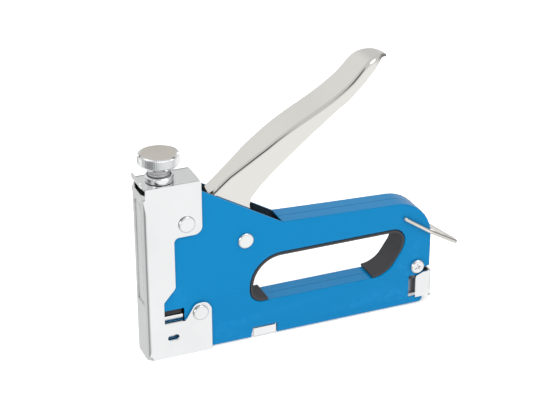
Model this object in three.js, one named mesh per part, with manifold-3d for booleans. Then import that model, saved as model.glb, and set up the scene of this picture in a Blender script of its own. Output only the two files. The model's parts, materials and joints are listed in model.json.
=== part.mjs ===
// Hand staple gun: pressed steel body in two halves, chrome nose, lever, spring hammer and
// pull-out staple rail. Millimetres, +Z up, +X from the nose to the rear, +Y to the tool's far side.
import * as THREE from 'three';
import { mergeVertices } from 'three/addons/utils/BufferGeometryUtils.js';
import Module from 'manifold-3d';

const wasm = await Module();
wasm.setup();

// ---- driving dimensions ----
const GAP = 0.3;                     // clearance between touching pieces
const PIN_GAP = 0.4;                 // clearance of a shaft in its hole
const BODY_HALF = 7.6;               // outer half width of the pressed body
const BODY_SHEET = 0.9;
const BODY_INNER = BODY_HALF - BODY_SHEET;
const EDGE_ROUND = 1.6;              // rounding of the pressed edges
const BODY_FRONT = 1.6;
const BODY_FLOOR = 0.8;
const BODY_REAR = 153;
const REAR_FOOT = 149.4;             // rear edge below the latch
const SHOULDER_RADIUS = 21;
const GRIP_TOP_REAR = 59.6;
const GRIP_FRONT = { x: 70, z: 63 }; // front end of the grip's roof, rear end of the lever slot
const SLOT_FRONT = { x: 28, z: 87.7 };
const HAND_TOP = 46.3;
const HAND_FLOOR = 20.4;
const HAND_FRONT = 52.3;
const HAND_REAR = 138;
const FOOT_NOTCH = { front: 52.8, rear: 66.8, top: 6 }; // shows the magazine's feet
const WINDOW = { front: 6.5, rear: 17.3, floor: 18.6, top: 26.2 };
const NOSE_SLOT = { front: 9.3, rear: 12.5, z: 10.8, half: 1.4 }; // oblong hole through cover and body
const LATCH_SLOT = { front: 140.8, rear: 144.9, floor: 5, top: 17.6 };
const LINER_GAP = { front: 62, rear: 120 }; // stretch of the hand opening's floor left bare

const NOSE_FRONT = -2.4;             // outer face of the nose's front wall
const NOSE_SHEET = 0.9;
const NOSE_INNER = BODY_HALF + GAP;
const NOSE_HALF = NOSE_INNER + NOSE_SHEET;
const NOSE_DEPTH = 27.2;
const NOSE_TOP = 93.9;
const FRONT_WALL_TOP = 91;
const LIP_TOP = 96.4;

const SCREW_X = 9.2;                 // axis of the tension knob, mainspring and hammer
const KNOB_RADIUS = 10.3;
const KNOB_BASE = 102;
const KNOB_TOP = 108.2;
const STEM_RADIUS = 5.5;
const SCREW_RADIUS_BELOW = 4;        // the stem steps in below the collar
const STEM_STEP = 95;
const COLLAR_TOP = 97.3;
const SEAT = { floor: 82, top: 86, radius: 5.4 };

const LEVER_PIVOT = { x: 50, z: 56.8 };
const LEVER_TILT = THREE.MathUtils.degToRad(42);
const LEVER_SHEET = 1.2;
const UPPER_RIVET = { x: 19.3, z: 72.3 };
const LOWER_RIVET = { x: 25.3, z: 22.4 };
const REAR_SCREW = { x: 145.1, z: 22.9 };
const BAIL_PIVOT = { x: 137.1, z: 52.1 };
const PIVOT_PIN_RADIUS = 2.5;
const RIVET_RADIUS = 2.1;
const SCREW_RADIUS = 2;
const WIRE_RADIUS = 1;

const HAMMER = { front: 0, rear: 20, half: 5.4, floor: 27, top: 45 };
const LEDGE = { rear: 29.2, floor: 50, top: 52.5 };
const BLADE = { front: -1.2, sheet: 0.9, half: 5.3, tip: 0.5 };
const GUIDE = { front: 0.2, rear: 26, inner: 5.7, outer: 6.4, floor: 28, top: 91.6 };
const BLOCK_TOP = 22.2;              // top of the magazine's front block

const MAGAZINE = { front: 0, rear: 138, inner: 5.5, outer: 6.2, floor: 1.2, top: 18.2 };
const RAIL = { front: 4, rear: 139.4, inner: 3.7, outer: 4.6, floor: 2.4, top: 16.2 };
const PUSHER = { front: 3, rear: 23, half: 5.2, floor: 4 };
const ROD = { radius: 1.5, z: 10, rear: 139.4 };
const LATCH = { front: 144.3, rear: 153.4, floor: 4.9, top: 19.2, sheet: 0.9 };

const LENGTH = 174.8;                // from the nose's front to the tip of the wire bail

const COLOURS = {
  paint: { color: 0x0078be, roughness: 0.35, metalness: 0.1 },
  chrome: { color: 0xdfe1e3, roughness: 0.15, metalness: 1 },
  steel: { color: 0x9a9c9e, roughness: 0.4, metalness: 0.9 },
  nickel: { color: 0xd6d4cc, roughness: 0.3, metalness: 1 },
  plastic: { color: 0x1c1d20, roughness: 0.6, metalness: 0 },
  rubber: { color: 0x222222, roughness: 0.9, metalness: 0 },
};

// ---- solids ----
function solid(geometry) {
  geometry.deleteAttribute('normal');
  geometry.deleteAttribute('uv');
  const merged = mergeVertices(geometry, 1e-3);
  const corners = merged.index.array;
  const triangles = [];
  for (let i = 0; i < corners.length; i += 3) {
    const [a, b, c] = corners.slice(i, i + 3);
    if (a !== b && b !== c && c !== a) triangles.push(a, b, c);
  }
  return new wasm.Manifold(new wasm.Mesh({
    numProp: 3,
    vertProperties: new Float32Array(merged.attributes.position.array),
    triVerts: new Uint32Array(triangles),
  }));
}

function geometryOf(manifold) {
  const mesh = manifold.getMesh();
  const geometry = new THREE.BufferGeometry();
  geometry.setAttribute('position', new THREE.BufferAttribute(new Float32Array(mesh.vertProperties), 3));
  geometry.setIndex(new THREE.BufferAttribute(new Uint32Array(mesh.triVerts), 1));
  return geometry;
}

const join = (first, ...others) => others.reduce((whole, other) => whole.add(other), first);
const cut = (first, ...others) => others.reduce((whole, other) => whole.subtract(other), first);

function box(x0, x1, y0, y1, z0, z1) {
  const geometry = new THREE.BoxGeometry(x1 - x0, y1 - y0, z1 - z0);
  return solid(geometry.translate((x0 + x1) / 2, (y0 + y1) / 2, (z0 + z1) / 2));
}

// A rod across the tool, from y0 to y1.
function crossRod({ x, z }, radius, y0, y1, sides = 12) {
  const geometry = new THREE.CylinderGeometry(radius, radius, y1 - y0, sides);
  return solid(geometry.translate(x, (y0 + y1) / 2, z));
}

// A turned piece around a vertical axis through the origin; profile is [radius, z] pairs, upwards.
function turned(profile, sides = 24) {
  const points = profile.map(([radius, z]) => new THREE.Vector2(radius, z));
  return solid(new THREE.LatheGeometry(points, sides).rotateX(Math.PI / 2));
}

// Closed outline from corners [x, z, radius]; a radius of 0 or none leaves the corner sharp.
function outline(corners) {
  const shape = new THREE.Shape();
  corners.forEach(([x, z, radius = 0], i) => {
    const corner = new THREE.Vector2(x, z);
    const [before, after] = [corners.at(i - 1), corners[(i + 1) % corners.length]]
      .map(([px, pz]) => new THREE.Vector2(px, pz).sub(corner).normalize());
    const half = before.angleTo(after) / 2;
    const reach = radius / Math.tan(half);
    const start = corner.clone().addScaledVector(before, reach);
    if (i === 0) shape.moveTo(start.x, start.y); else shape.lineTo(start.x, start.y);
    if (radius === 0) return;
    const centre = before.clone().add(after).setLength(radius / Math.sin(half)).add(corner);
    const end = corner.clone().addScaledVector(after, reach);
    const angle = (p) => Math.atan2(p.y - centre.y, p.x - centre.x);
    shape.absarc(centre.x, centre.y, radius, angle(start), angle(end), before.cross(after) > 0);
  });
  return shape;
}

// A plate standing along the tool between y0 and y1, cut to an outline in X and Z.
function plate(shape, y0, y1, segments = 3) {
  const geometry = new THREE.ExtrudeGeometry(shape, {
    depth: y1 - y0, bevelEnabled: false, curveSegments: segments,
  });
  return solid(geometry.rotateX(Math.PI / 2).translate(0, y1, 0));
}

// The same, centred, with its rim rounded and drawn in by inset.
function pillow(shape, half, round, inset) {
  const geometry = new THREE.ExtrudeGeometry(shape, {
    depth: 2 * (half - round), bevelThickness: round, bevelSize: round,
    bevelOffset: -round - inset, bevelSegments: 2, curveSegments: 3,
  });
  return solid(geometry.rotateX(Math.PI / 2).translate(0, half - round, 0));
}

// Round wire along a curve.
function wire(curve, radius, steps, sides = 8) {
  const ring = new THREE.Shape();
  for (let i = 0; i < sides; i += 1) {
    const turn = (i / sides) * 2 * Math.PI;
    const [x, y] = [radius * Math.cos(turn), radius * Math.sin(turn)];
    if (i === 0) ring.moveTo(x, y); else ring.lineTo(x, y);
  }
  return solid(new THREE.ExtrudeGeometry(ring, { steps, extrudePath: curve, curveSegments: 1 }));
}

class Helix extends THREE.Curve {
  constructor(radius, pitch, turns) {
    super();
    Object.assign(this, { radius, pitch, turns });
  }

  getPoint(t, target = new THREE.Vector3()) {
    const turn = t * this.turns * 2 * Math.PI;
    const { radius, pitch, turns } = this;
    return target.set(radius * Math.cos(turn), radius * Math.sin(turn), t * turns * pitch);
  }
}

const tool = new THREE.Group();
tool.position.x = -NOSE_FRONT - LENGTH / 2;

function add(name, finish, manifold, place = {}) {
  const mesh = new THREE.Mesh(geometryOf(manifold), new THREE.MeshStandardMaterial(COLOURS[finish]));
  mesh.name = name;
  mesh.position.set(place.x ?? 0, place.y ?? 0, place.z ?? 0);
  mesh.rotation.set(place.turnX ?? 0, place.turnY ?? 0, 0);
  (place.group ?? tool).add(mesh);
}

// ---- pressed body ----
function bodyShells() {
  const rim = outline([
    [BODY_FRONT, BODY_FLOOR],
    [FOOT_NOTCH.front, BODY_FLOOR],
    [FOOT_NOTCH.front + 1, FOOT_NOTCH.top, 0.8],
    [FOOT_NOTCH.rear, FOOT_NOTCH.top, 0.8],
    [FOOT_NOTCH.rear, BODY_FLOOR],
    [REAR_FOOT, BODY_FLOOR, 2.4],
    [REAR_FOOT, LATCH.top + 1.6],
    [BODY_REAR, LATCH.top + 2.2],
    [BODY_REAR, GRIP_TOP_REAR, SHOULDER_RADIUS],
    [GRIP_FRONT.x, GRIP_FRONT.z],
    [SLOT_FRONT.x, SLOT_FRONT.z],
    [BODY_FRONT, SLOT_FRONT.z],
  ]);
  const hand = handOpening();
  rim.holes.push(hand);
  const hollow = pillow(rim, BODY_INNER, EDGE_ROUND - BODY_SHEET / 2, BODY_SHEET);
  const slot = plate(outline([
    [BODY_FRONT - 1, SLOT_FRONT.z - BODY_SHEET - 1], [SLOT_FRONT.x - 1, SLOT_FRONT.z - BODY_SHEET - 1],
    [GRIP_FRONT.x - 1.5, GRIP_FRONT.z - 2.5], [GRIP_FRONT.x + 0.2, GRIP_FRONT.z + 3],
    [GRIP_FRONT.x, SLOT_FRONT.z + 3], [BODY_FRONT - 1, SLOT_FRONT.z + 3],
  ]), -BODY_INNER, BODY_INNER);
  const trackHalf = MAGAZINE.outer + PIN_GAP;
  const whole = cut(
    pillow(rim, BODY_HALF, EDGE_ROUND, 0), hollow, slot,
    box(BODY_FRONT - 1, BODY_FRONT + 3, -BODY_INNER, BODY_INNER, 2.4, SLOT_FRONT.z + 1),
    box(BODY_FRONT - 1, REAR_FOOT + 1, -trackHalf, trackHalf, -1, FOOT_NOTCH.top + 3),
    box(REAR_FOOT - 4, BODY_REAR + 1, -trackHalf, trackHalf, -1, LATCH.top + 0.2),
    box(WINDOW.front, WINDOW.rear, -BODY_HALF - 1, BODY_HALF + 1, WINDOW.floor, WINDOW.top),
    box(LATCH_SLOT.front, LATCH_SLOT.rear, -BODY_HALF - 1, BODY_HALF + 1, LATCH_SLOT.floor, LATCH_SLOT.top),
    noseSlot(GAP),
    crossRod(LEVER_PIVOT, PIVOT_PIN_RADIUS + PIN_GAP, -10, 10),
    crossRod(UPPER_RIVET, RIVET_RADIUS + PIN_GAP, -10, 10),
    crossRod(LOWER_RIVET, RIVET_RADIUS + PIN_GAP, -10, 10),
    crossRod(REAR_SCREW, SCREW_RADIUS + PIN_GAP, -10, 10),
    crossRod(BAIL_PIVOT, WIRE_RADIUS + PIN_GAP, -10, 10),
  );
  const far = BODY_REAR + 10;
  add('body_shell_left', 'paint', cut(whole, box(-10, far, -GAP / 2, 20, -5, 100)));
  add('body_shell_right', 'paint', cut(whole, box(-10, far, -20, GAP / 2, -5, 100)));
}

function handOpening(inset = 0) {
  return outline([
    [HAND_FRONT + inset, HAND_FLOOR + inset, 7 - inset],
    [HAND_FRONT + inset, HAND_TOP - inset, 17 - inset],
    [HAND_REAR - inset, HAND_TOP - inset, 7 - inset],
    [HAND_REAR - inset, 36, 11 - inset],
    [128 - inset, HAND_FLOOR + inset, 14 - inset],
  ]);
}

// Plastic lining of the hand opening: all round but for a stretch of the floor.
function gripLiner() {
  const half = BODY_HALF - GAP;
  const sheet = 1.4;
  const band = cut(
    plate(handOpening(GAP), -half, half, 4),
    plate(handOpening(GAP + sheet), -half - 1, half + 1, 4),
    box(LINER_GAP.front, LINER_GAP.rear, -20, 20, HAND_FLOOR - 2, HAND_FLOOR + 6),
  );
  add('grip_liner', 'plastic', band);
}

// ---- nose ----
function noseSlot(margin) {
  const { front, rear, z, half } = NOSE_SLOT;
  const radius = half + margin;
  return join(
    crossRod({ x: front, z }, radius, -12, 12), crossRod({ x: rear, z }, radius, -12, 12),
    box(front, rear, -12, 12, z - radius, z + radius),
  );
}

function noseCover() {
  const side = outline([
    [NOSE_FRONT, 0], [31.1, 0], [31.1, 24, 2.5], [28.6, 28, 3.5], [22.6, 27.6, 3],
    [17.4, 19.3, 0.6], [WINDOW.front, 19.3, 0.3], [WINDOW.front, 31.5, 2],
    [12.7, 38.5, 3], [12.7, 65.9, 2.6], [NOSE_DEPTH, 65.9, 4], [NOSE_DEPTH, NOSE_TOP, 0.6],
    [NOSE_FRONT, NOSE_TOP],
  ]);
  const hollow = box(NOSE_FRONT + NOSE_SHEET, 40, -NOSE_INNER, NOSE_INNER, -1, 100);
  const rearOnly = (part) => part.subtract(box(NOSE_FRONT - 1, NOSE_FRONT + 5, -20, 20, FRONT_WALL_TOP, 100));
  add('nose_cover', 'chrome', cut(
    rearOnly(plate(side, -NOSE_HALF, NOSE_HALF)), hollow, noseSlot(0),
    crossRod(UPPER_RIVET, RIVET_RADIUS + PIN_GAP, -12, 12),
    crossRod(LOWER_RIVET, RIVET_RADIUS + PIN_GAP, -12, 12),
  ));
}

// Flat cap between the cover's side walls, its front edge turned up into a lip.
function topCap() {
  const half = NOSE_INNER - GAP;
  const lipNear = -4.9;
  const lipRear = NOSE_FRONT + NOSE_SHEET;
  const lipFloor = FRONT_WALL_TOP + 0.6;
  const bore = STEM_RADIUS + PIN_GAP;
  add('top_cap', 'chrome', cut(
    join(
      box(NOSE_FRONT, NOSE_DEPTH, -half, half, NOSE_TOP - 1.2, NOSE_TOP),
      box(NOSE_FRONT, lipRear, lipNear, half, lipFloor, LIP_TOP),
      box(NOSE_FRONT, lipRear, -half, half, lipFloor, NOSE_TOP),
    ),
    turned([[0, 90], [bore, 90], [bore, 100], [0, 100]]).translate([SCREW_X, 0, 0]),
  ));
}

// ---- hammer and its spring ----
function hammerGuide() {
  const { front, rear, inner, outer, floor, top } = GUIDE;
  add('hammer_guide', 'steel', cut(
    box(front, rear, -outer, outer, floor, top),
    box(front - 1, rear + 1, -inner, inner, floor - 1, top - 1),
    box(front, 16, -STEM_RADIUS - 1, STEM_RADIUS + 1, top - 2, top + 1),
    crossRod(UPPER_RIVET, RIVET_RADIUS + PIN_GAP, -9, 9),
  ));
}

function hammer() {
  const { front, rear, half, floor, top } = HAMMER;
  const spine = plate(outline([
    [front, floor, 0.8], [rear, floor, 0.8], [rear, LEDGE.floor], [LEDGE.rear, LEDGE.floor],
    [LEDGE.rear, LEDGE.top, 0.8], [rear - 2.6, LEDGE.top, 1.5], [rear - 2.6, top], [front, top, 0.8],
  ]), -3, 3);
  add('hammer', 'steel', join(spine, box(front, rear - 3, -half, half, floor, top)));
  add('driver_blade', 'steel', box(
    BLADE.front, BLADE.front + BLADE.sheet, -BLADE.half, BLADE.half, BLADE.tip, top - 3,
  ));
  add('hammer_bumper', 'rubber', box(front + 1, 16.6, -half, half, BLOCK_TOP + GAP, floor - GAP));
}

function mainspring() {
  const wireRadius = 0.9;
  const foot = HAMMER.top + GAP + wireRadius;
  const head = SEAT.floor - GAP - wireRadius;
  const turns = 7;
  const coil = new Helix(4.6, (head - foot) / turns, turns);
  add('mainspring', 'steel', wire(coil, wireRadius, turns * 9, 5), { x: SCREW_X, z: foot });
}

// ---- tension screw ----
function tensionScrew() {
  const cup = SCREW_RADIUS_BELOW + PIN_GAP;
  const { floor, top, radius } = SEAT;
  const ring = (inner, outer, z0, z1) => turned(
    [[inner, z0], [outer, z0], [outer, z1], [inner, z1], [inner, z0]],
  );
  add('spring_seat', 'steel', cut(
    turned([[0, floor], [radius, floor], [radius, top], [0, top]]),
    turned([[0, floor + 1], [cup, floor + 1], [cup, top + 1], [0, top + 1]]),
    turned([[0, floor - 1], [2.6, floor - 1], [2.6, floor + 2], [0, floor + 2]]),
  ), { x: SCREW_X });
  add('collar_nut', 'steel', ring(STEM_RADIUS + PIN_GAP, 7.1, NOSE_TOP + GAP, COLLAR_TOP), { x: SCREW_X });
  const chamfer = 0.8;
  const stemFoot = floor + 1 + GAP;
  add('tension_knob', 'chrome', turned([
    [0, stemFoot], [SCREW_RADIUS_BELOW - 0.5, stemFoot], [SCREW_RADIUS_BELOW, stemFoot + 0.5],
    [SCREW_RADIUS_BELOW, STEM_STEP], [STEM_RADIUS, STEM_STEP], [STEM_RADIUS, KNOB_BASE],
    [KNOB_RADIUS - 1.4, KNOB_BASE], [KNOB_RADIUS, KNOB_BASE + 1.2], [KNOB_RADIUS, KNOB_TOP - chamfer],
    [KNOB_RADIUS - chamfer, KNOB_TOP], [0, KNOB_TOP],
  ], 36), { x: SCREW_X });
}

// ---- magazine ----
function magazineChannel() {
  const { front, rear, inner, outer, floor, top } = MAGAZINE;
  const footHalf = BODY_HALF - GAP;
  const footTop = FOOT_NOTCH.top - GAP;
  const [footFront, footRear] = [FOOT_NOTCH.front + 1.2, FOOT_NOTCH.rear - 0.8];
  const foot = join(
    box(footFront, footRear, inner, footHalf, floor, floor + 1),
    box(footFront, footRear, footHalf - 0.9, footHalf, floor, footTop),
  );
  const blockRear = WINDOW.rear - GAP;
  add('magazine_channel', 'chrome', cut(
    join(
      box(front, rear, -outer, outer, floor, top),
      box(front, blockRear, -outer, outer, top - 1, BLOCK_TOP),
      foot, foot.mirror([0, 1, 0]),
    ),
    box(front - 1, rear + 1, -inner, inner, floor - 1, top - 1),
  ));
}

function stapleRail() {
  const { front, rear, inner, outer, floor, top } = RAIL;
  add('staple_rail', 'steel', cut(
    box(front, rear, -outer, outer, floor, top),
    box(front - 1, rear + 1, -inner, inner, floor + 0.9, top + 1),
  ));
  const rodHole = new THREE.CylinderGeometry(ROD.radius + PIN_GAP, ROD.radius + PIN_GAP, 60, 12);
  add('pusher', 'steel', cut(
    box(PUSHER.front, PUSHER.rear, -PUSHER.half, PUSHER.half, PUSHER.floor, top + 0.7),
    box(PUSHER.front - 1, PUSHER.rear + 1, -outer - GAP, -inner + GAP, PUSHER.floor - 1, top + GAP),
    box(PUSHER.front - 1, PUSHER.rear + 1, inner - GAP, outer + GAP, PUSHER.floor - 1, top + GAP),
    solid(rodHole.rotateZ(Math.PI / 2).translate(PUSHER.front + 10, 0, ROD.z)),
  ));
  const rod = new THREE.CylinderGeometry(ROD.radius, ROD.radius, ROD.rear - PUSHER.front - 2, 12);
  add('pusher_rod', 'steel', solid(
    rod.rotateZ(Math.PI / 2).translate((ROD.rear + PUSHER.front + 2) / 2, 0, ROD.z),
  ));
  const wireRadius = 0.35;
  const turns = 16;
  const start = PUSHER.rear + GAP + wireRadius;
  const coil = new Helix(2.8, (ROD.rear - 2 - start) / turns, turns);
  add('pusher_spring', 'steel', wire(coil, wireRadius, turns * 7, 4), {
    x: start, z: ROD.z, turnY: Math.PI / 2,
  });
}

// Latch at the rail's rear end: a cap over the body's rear foot with a tongue to the rail.
function rearLatch() {
  const { front, rear, floor, top, sheet } = LATCH;
  const side = outline([
    [front, floor], [rear, floor], [rear, top], [148, top - 0.2, 1.5], [front, top - 2, 0.8],
  ]);
  const tongueFront = RAIL.rear + GAP;
  add('rear_latch', 'chrome', join(
    cut(
      plate(side, -NOSE_INNER - sheet, NOSE_INNER + sheet),
      box(front - 1, rear - sheet, -NOSE_INNER, NOSE_INNER, floor - 1, top + 1),
    ),
    box(rear - 0.2, rear + 0.9, -NOSE_INNER, NOSE_INNER, floor, floor + 1.2),
    box(tongueFront, rear - 0.2, -RAIL.outer, RAIL.outer, floor, floor + 9),
  ));
}

// ---- lever; s runs along it from the pivot, t square to it ----
const LEVER_BACK = [
  [2, 31.6], [18, 31.1], [33, 29.7], [47, 27.9], [60, 25.2], [73, 21.9],
  [83, 20], [92, 19.2], [100, 19.9], [105, 19.3], [109, 17.6], [111.6, 15.2], [113, 12.3], [113.5, 9.3],
];
const LEVER_UNDERSIDE = [
  [104, 14.3], [93, 13.8], [84, 13.7], [72, 15.1], [58, 16.3], [40, 16.7], [27, 15.9],
];
// Half widths along the lever: narrow inside the body's slot, full in the palm, a round tongue at the end.
const LEVER_HALF_WIDTHS = [
  [-9, 6.3], [17, 6.3], [30, 8.4], [45, 9.8], [75, 10.1],
  [92, 10], [100, 9.7], [105, 8.8], [109, 7], [112, 4.4],
];
const LEVER_END = 113.7;

function splineThrough(pairs, divisions) {
  return new THREE.SplineCurve(pairs.map(([a, b]) => new THREE.Vector2(a, b))).getPoints(divisions);
}

function leverSolid() {
  const back = splineThrough(LEVER_BACK, 26);
  const under = splineThrough(LEVER_UNDERSIDE, 12);
  const tip = [new THREE.Vector2(112.3, 9.3), new THREE.Vector2(111.9, 11.9), new THREE.Vector2(110.5, 13.9)];
  const eyeRadius = 7;
  const eye = [];
  for (let i = 0; i <= 8; i += 1) {
    const turn = THREE.MathUtils.degToRad(10 - i * 25);
    eye.push(new THREE.Vector2(eyeRadius * Math.cos(turn), eyeRadius * Math.sin(turn)));
  }
  const rear = [new THREE.Vector2(17, 12), new THREE.Vector2(10, 9)];
  const side = new THREE.Shape([...back, ...tip, ...under, ...rear, ...eye]);
  const curlStart = 107; // the tongue's end curls down from here
  const curlFoot = 110.4;
  const roof = back.filter((p) => p.y > 10).map((p) => new THREE.Vector2(
    p.x - (p.x > curlStart ? 0.8 : 0), p.y - LEVER_SHEET,
  ));
  const inside = new THREE.Shape([
    ...roof, new THREE.Vector2(curlFoot, -20), new THREE.Vector2(-20, -20), new THREE.Vector2(-20, 30.3),
  ]);
  const edge = splineThrough(LEVER_HALF_WIDTHS, 24);
  const plan = (inset) => {
    const near = edge.map((p) => new THREE.Vector2(p.x, -Math.max(p.y - inset, 0.5)));
    const far = edge.map((p) => new THREE.Vector2(p.x, Math.max(p.y - inset, 0.5))).reverse();
    const end = inset > 0 ? [] : [new THREE.Vector2(LEVER_END, 0)];
    const slotHalf = LEVER_HALF_WIDTHS[0][1] - inset;
    const start = inset > 0 ? [new THREE.Vector2(-20, slotHalf), new THREE.Vector2(-20, -slotHalf)] : [];
    const geometry = new THREE.ExtrudeGeometry(new THREE.Shape([...near, ...end, ...far, ...start]), {
      depth: 80, bevelEnabled: false,
    });
    return solid(geometry.translate(0, 0, -30));
  };
  const blank = plate(side, -11, 11).intersect(plan(0));
  const hollow = plate(inside, -11, 11).intersect(plan(LEVER_SHEET));
  return cut(blank, hollow, crossRod({ x: 0, z: 0 }, PIVOT_PIN_RADIUS + PIN_GAP, -12, 12));
}

function lever() {
  add('handle_lever', 'nickel', leverSolid(), {
    x: LEVER_PIVOT.x, z: LEVER_PIVOT.z, turnY: -LEVER_TILT,
  });
  const armHalf = 1.8;
  const toe = [[26.8, 49.7, 1], [26.9, 46.2, 1], [33, 45.4, 3]];
  const hub = [[45, 50, 2], [56, 50.5, 5], [56, 62.8, 5], [45, 62.8, 5]];
  const throat = [[34, 50.8, 2], [30.4, 48.9, 0.8], [29.4, 49.7, 0.4]];
  add('lift_arm', 'steel', cut(
    plate(outline([...toe, ...hub, ...throat]), -armHalf, armHalf),
    crossRod(LEVER_PIVOT, PIVOT_PIN_RADIUS + PIN_GAP, -9, 9),
  ));
  const sleeveRadius = 3.7;
  const sleeve = (y0, y1) => cut(
    crossRod(LEVER_PIVOT, sleeveRadius, y0, y1),
    crossRod(LEVER_PIVOT, PIVOT_PIN_RADIUS + PIN_GAP, y0 - 1, y1 + 1),
  );
  const [near, far] = [armHalf + GAP, LEVER_HALF_WIDTHS[0][1] - LEVER_SHEET - GAP];
  add('pivot_sleeve_left', 'steel', sleeve(-far, -near));
  add('pivot_sleeve_right', 'steel', sleeve(near, far));
  const coil = new Helix(4.6, 1.1, 1.4);
  add('return_spring', 'steel', wire(coil, 0.5, 30, 6), {
    x: LEVER_PIVOT.x, y: -near - 0.6, z: LEVER_PIVOT.z, turnX: Math.PI / 2,
  });
}

// ---- fasteners ----
function rivet(name, place, radius, seat, headRadius) {
  const headTop = seat + 1.3;
  const head = (side) => {
    const points = [[0, 0], [headRadius, 0], [headRadius, 0.4], [headRadius * 0.72, 1.1], [0, 1.3]];
    const cap = turned(points, 20).rotate([-90 * side, 0, 0]);
    return cap.translate([place.x, side * seat, place.z]);
  };
  add(name, 'chrome', join(crossRod(place, radius, -headTop + 0.5, headTop - 0.5), head(1), head(-1)));
}

function fasteners() {
  rivet('lever_pivot_rivet', LEVER_PIVOT, PIVOT_PIN_RADIUS, BODY_HALF + GAP, 4.1);
  rivet('upper_nose_rivet', UPPER_RIVET, RIVET_RADIUS, NOSE_HALF + GAP, 4.3);
  rivet('lower_nose_rivet', LOWER_RIVET, RIVET_RADIUS, NOSE_HALF + GAP, 4.1);
  const headSeat = -BODY_HALF - GAP;
  const crossCut = (turn) => box(-2.4, 2.4, -1, 0.9, -0.5, 0.5)
    .rotate([0, turn, 0]).translate([REAR_SCREW.x, headSeat - 1.6, REAR_SCREW.z]);
  add('rear_screw', 'chrome', cut(
    join(
      crossRod(REAR_SCREW, SCREW_RADIUS, headSeat - 0.1, BODY_HALF + 2.4),
      turned([[0, 0], [3.9, 0], [3.9, 0.6], [2.9, 1.5], [0, 1.8]], 20)
        .rotate([90, 0, 0]).translate([REAR_SCREW.x, headSeat, REAR_SCREW.z]),
    ),
    crossCut(20), crossCut(110),
  ));
  const nutSeat = BODY_HALF + GAP;
  add('rear_nut', 'steel', cut(
    crossRod(REAR_SCREW, 3.9, nutSeat, nutSeat + 1.9, 6),
    crossRod(REAR_SCREW, SCREW_RADIUS + GAP, 0, 20),
  ));
  const tube = (place, bore, radius, half) => cut(
    crossRod(place, radius, -half, half), crossRod(place, bore, -half - 1, half + 1),
  );
  add('rear_spacer', 'steel', tube(REAR_SCREW, SCREW_RADIUS + PIN_GAP, 2.9, BODY_INNER - GAP));
  add('lower_nose_spacer', 'steel', tube(LOWER_RIVET, RIVET_RADIUS + PIN_GAP, 3.2, BODY_INNER - GAP));
}

// ---- wire bail ----
function bail() {
  const arm = BODY_HALF + PIN_GAP + WIRE_RADIUS;
  const droop = Math.atan2(24.3, 35.4);
  const knee = 16.9;
  const reach = 41.7;
  const tipHalf = 1.3;
  const at = (r, y) => new THREE.Vector3(
    BAIL_PIVOT.x + r * Math.cos(droop), y, BAIL_PIVOT.z - r * Math.sin(droop),
  );
  const half = (side) => [
    at(0, side * (BODY_HALF - 1.6)), at(0, side * (arm - 0.5)), at(0.5, side * arm),
    at(knee - 0.6, side * arm), at(knee + 0.6, side * (arm - 0.3)), at(reach - 0.9, side * tipHalf),
  ];
  const stops = [...half(-1), at(reach, 0), ...half(1).reverse()];
  const route = new THREE.CatmullRomCurve3(stops, false, 'catmullrom', 0.05);
  add('bail', 'steel', wire(route, WIRE_RADIUS, 44, 6));
}

bodyShells();
gripLiner();
noseCover();
topCap();
hammerGuide();
hammer();
mainspring();
tensionScrew();
magazineChannel();
stapleRail();
rearLatch();
lever();
fasteners();
bail();

export default tool;
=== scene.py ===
"""Hand staple gun: a pressed blue body, plated nose, squeeze lever, tension knob and pull-out staple rail."""
import json
import math

import bmesh
import bpy
from mathutils import Matrix, Vector

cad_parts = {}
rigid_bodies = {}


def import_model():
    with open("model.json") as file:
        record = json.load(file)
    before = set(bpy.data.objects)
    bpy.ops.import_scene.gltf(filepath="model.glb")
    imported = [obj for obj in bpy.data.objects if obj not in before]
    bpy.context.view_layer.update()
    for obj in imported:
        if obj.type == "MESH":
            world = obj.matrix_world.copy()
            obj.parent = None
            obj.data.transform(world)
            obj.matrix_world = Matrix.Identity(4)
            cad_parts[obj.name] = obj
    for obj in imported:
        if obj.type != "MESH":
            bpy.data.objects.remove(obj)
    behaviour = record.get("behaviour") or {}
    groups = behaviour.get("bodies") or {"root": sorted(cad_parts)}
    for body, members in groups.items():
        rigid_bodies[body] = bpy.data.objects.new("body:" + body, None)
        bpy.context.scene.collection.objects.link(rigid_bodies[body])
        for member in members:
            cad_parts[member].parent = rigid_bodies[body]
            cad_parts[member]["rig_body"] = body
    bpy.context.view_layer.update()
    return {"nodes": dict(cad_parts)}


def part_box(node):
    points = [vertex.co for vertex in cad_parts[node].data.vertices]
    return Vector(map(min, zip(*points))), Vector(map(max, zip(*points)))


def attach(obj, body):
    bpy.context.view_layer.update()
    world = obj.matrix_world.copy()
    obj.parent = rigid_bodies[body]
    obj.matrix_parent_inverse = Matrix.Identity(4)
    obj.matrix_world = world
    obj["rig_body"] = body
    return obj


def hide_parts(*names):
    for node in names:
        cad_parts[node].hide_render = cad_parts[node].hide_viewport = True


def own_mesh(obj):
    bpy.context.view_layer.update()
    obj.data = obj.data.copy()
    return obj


bl_info = {
    "name": "Staple gun",
    "version": (1, 0, 0),
    "blender": (4, 5, 0),
    "location": "3D View > Sidebar > Staple gun",
    "description": "Builds the detailed skin of a hand staple gun round its packed frame",
    "category": "Add Mesh",
}

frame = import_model()

MM = 0.001
NOSE_FRONT = -2.4
ZERO_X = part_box("nose_cover")[0].x - NOSE_FRONT * MM
ACROSS = Vector((0, 1, 0))
UP = Vector((0, 0, 1))

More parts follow.
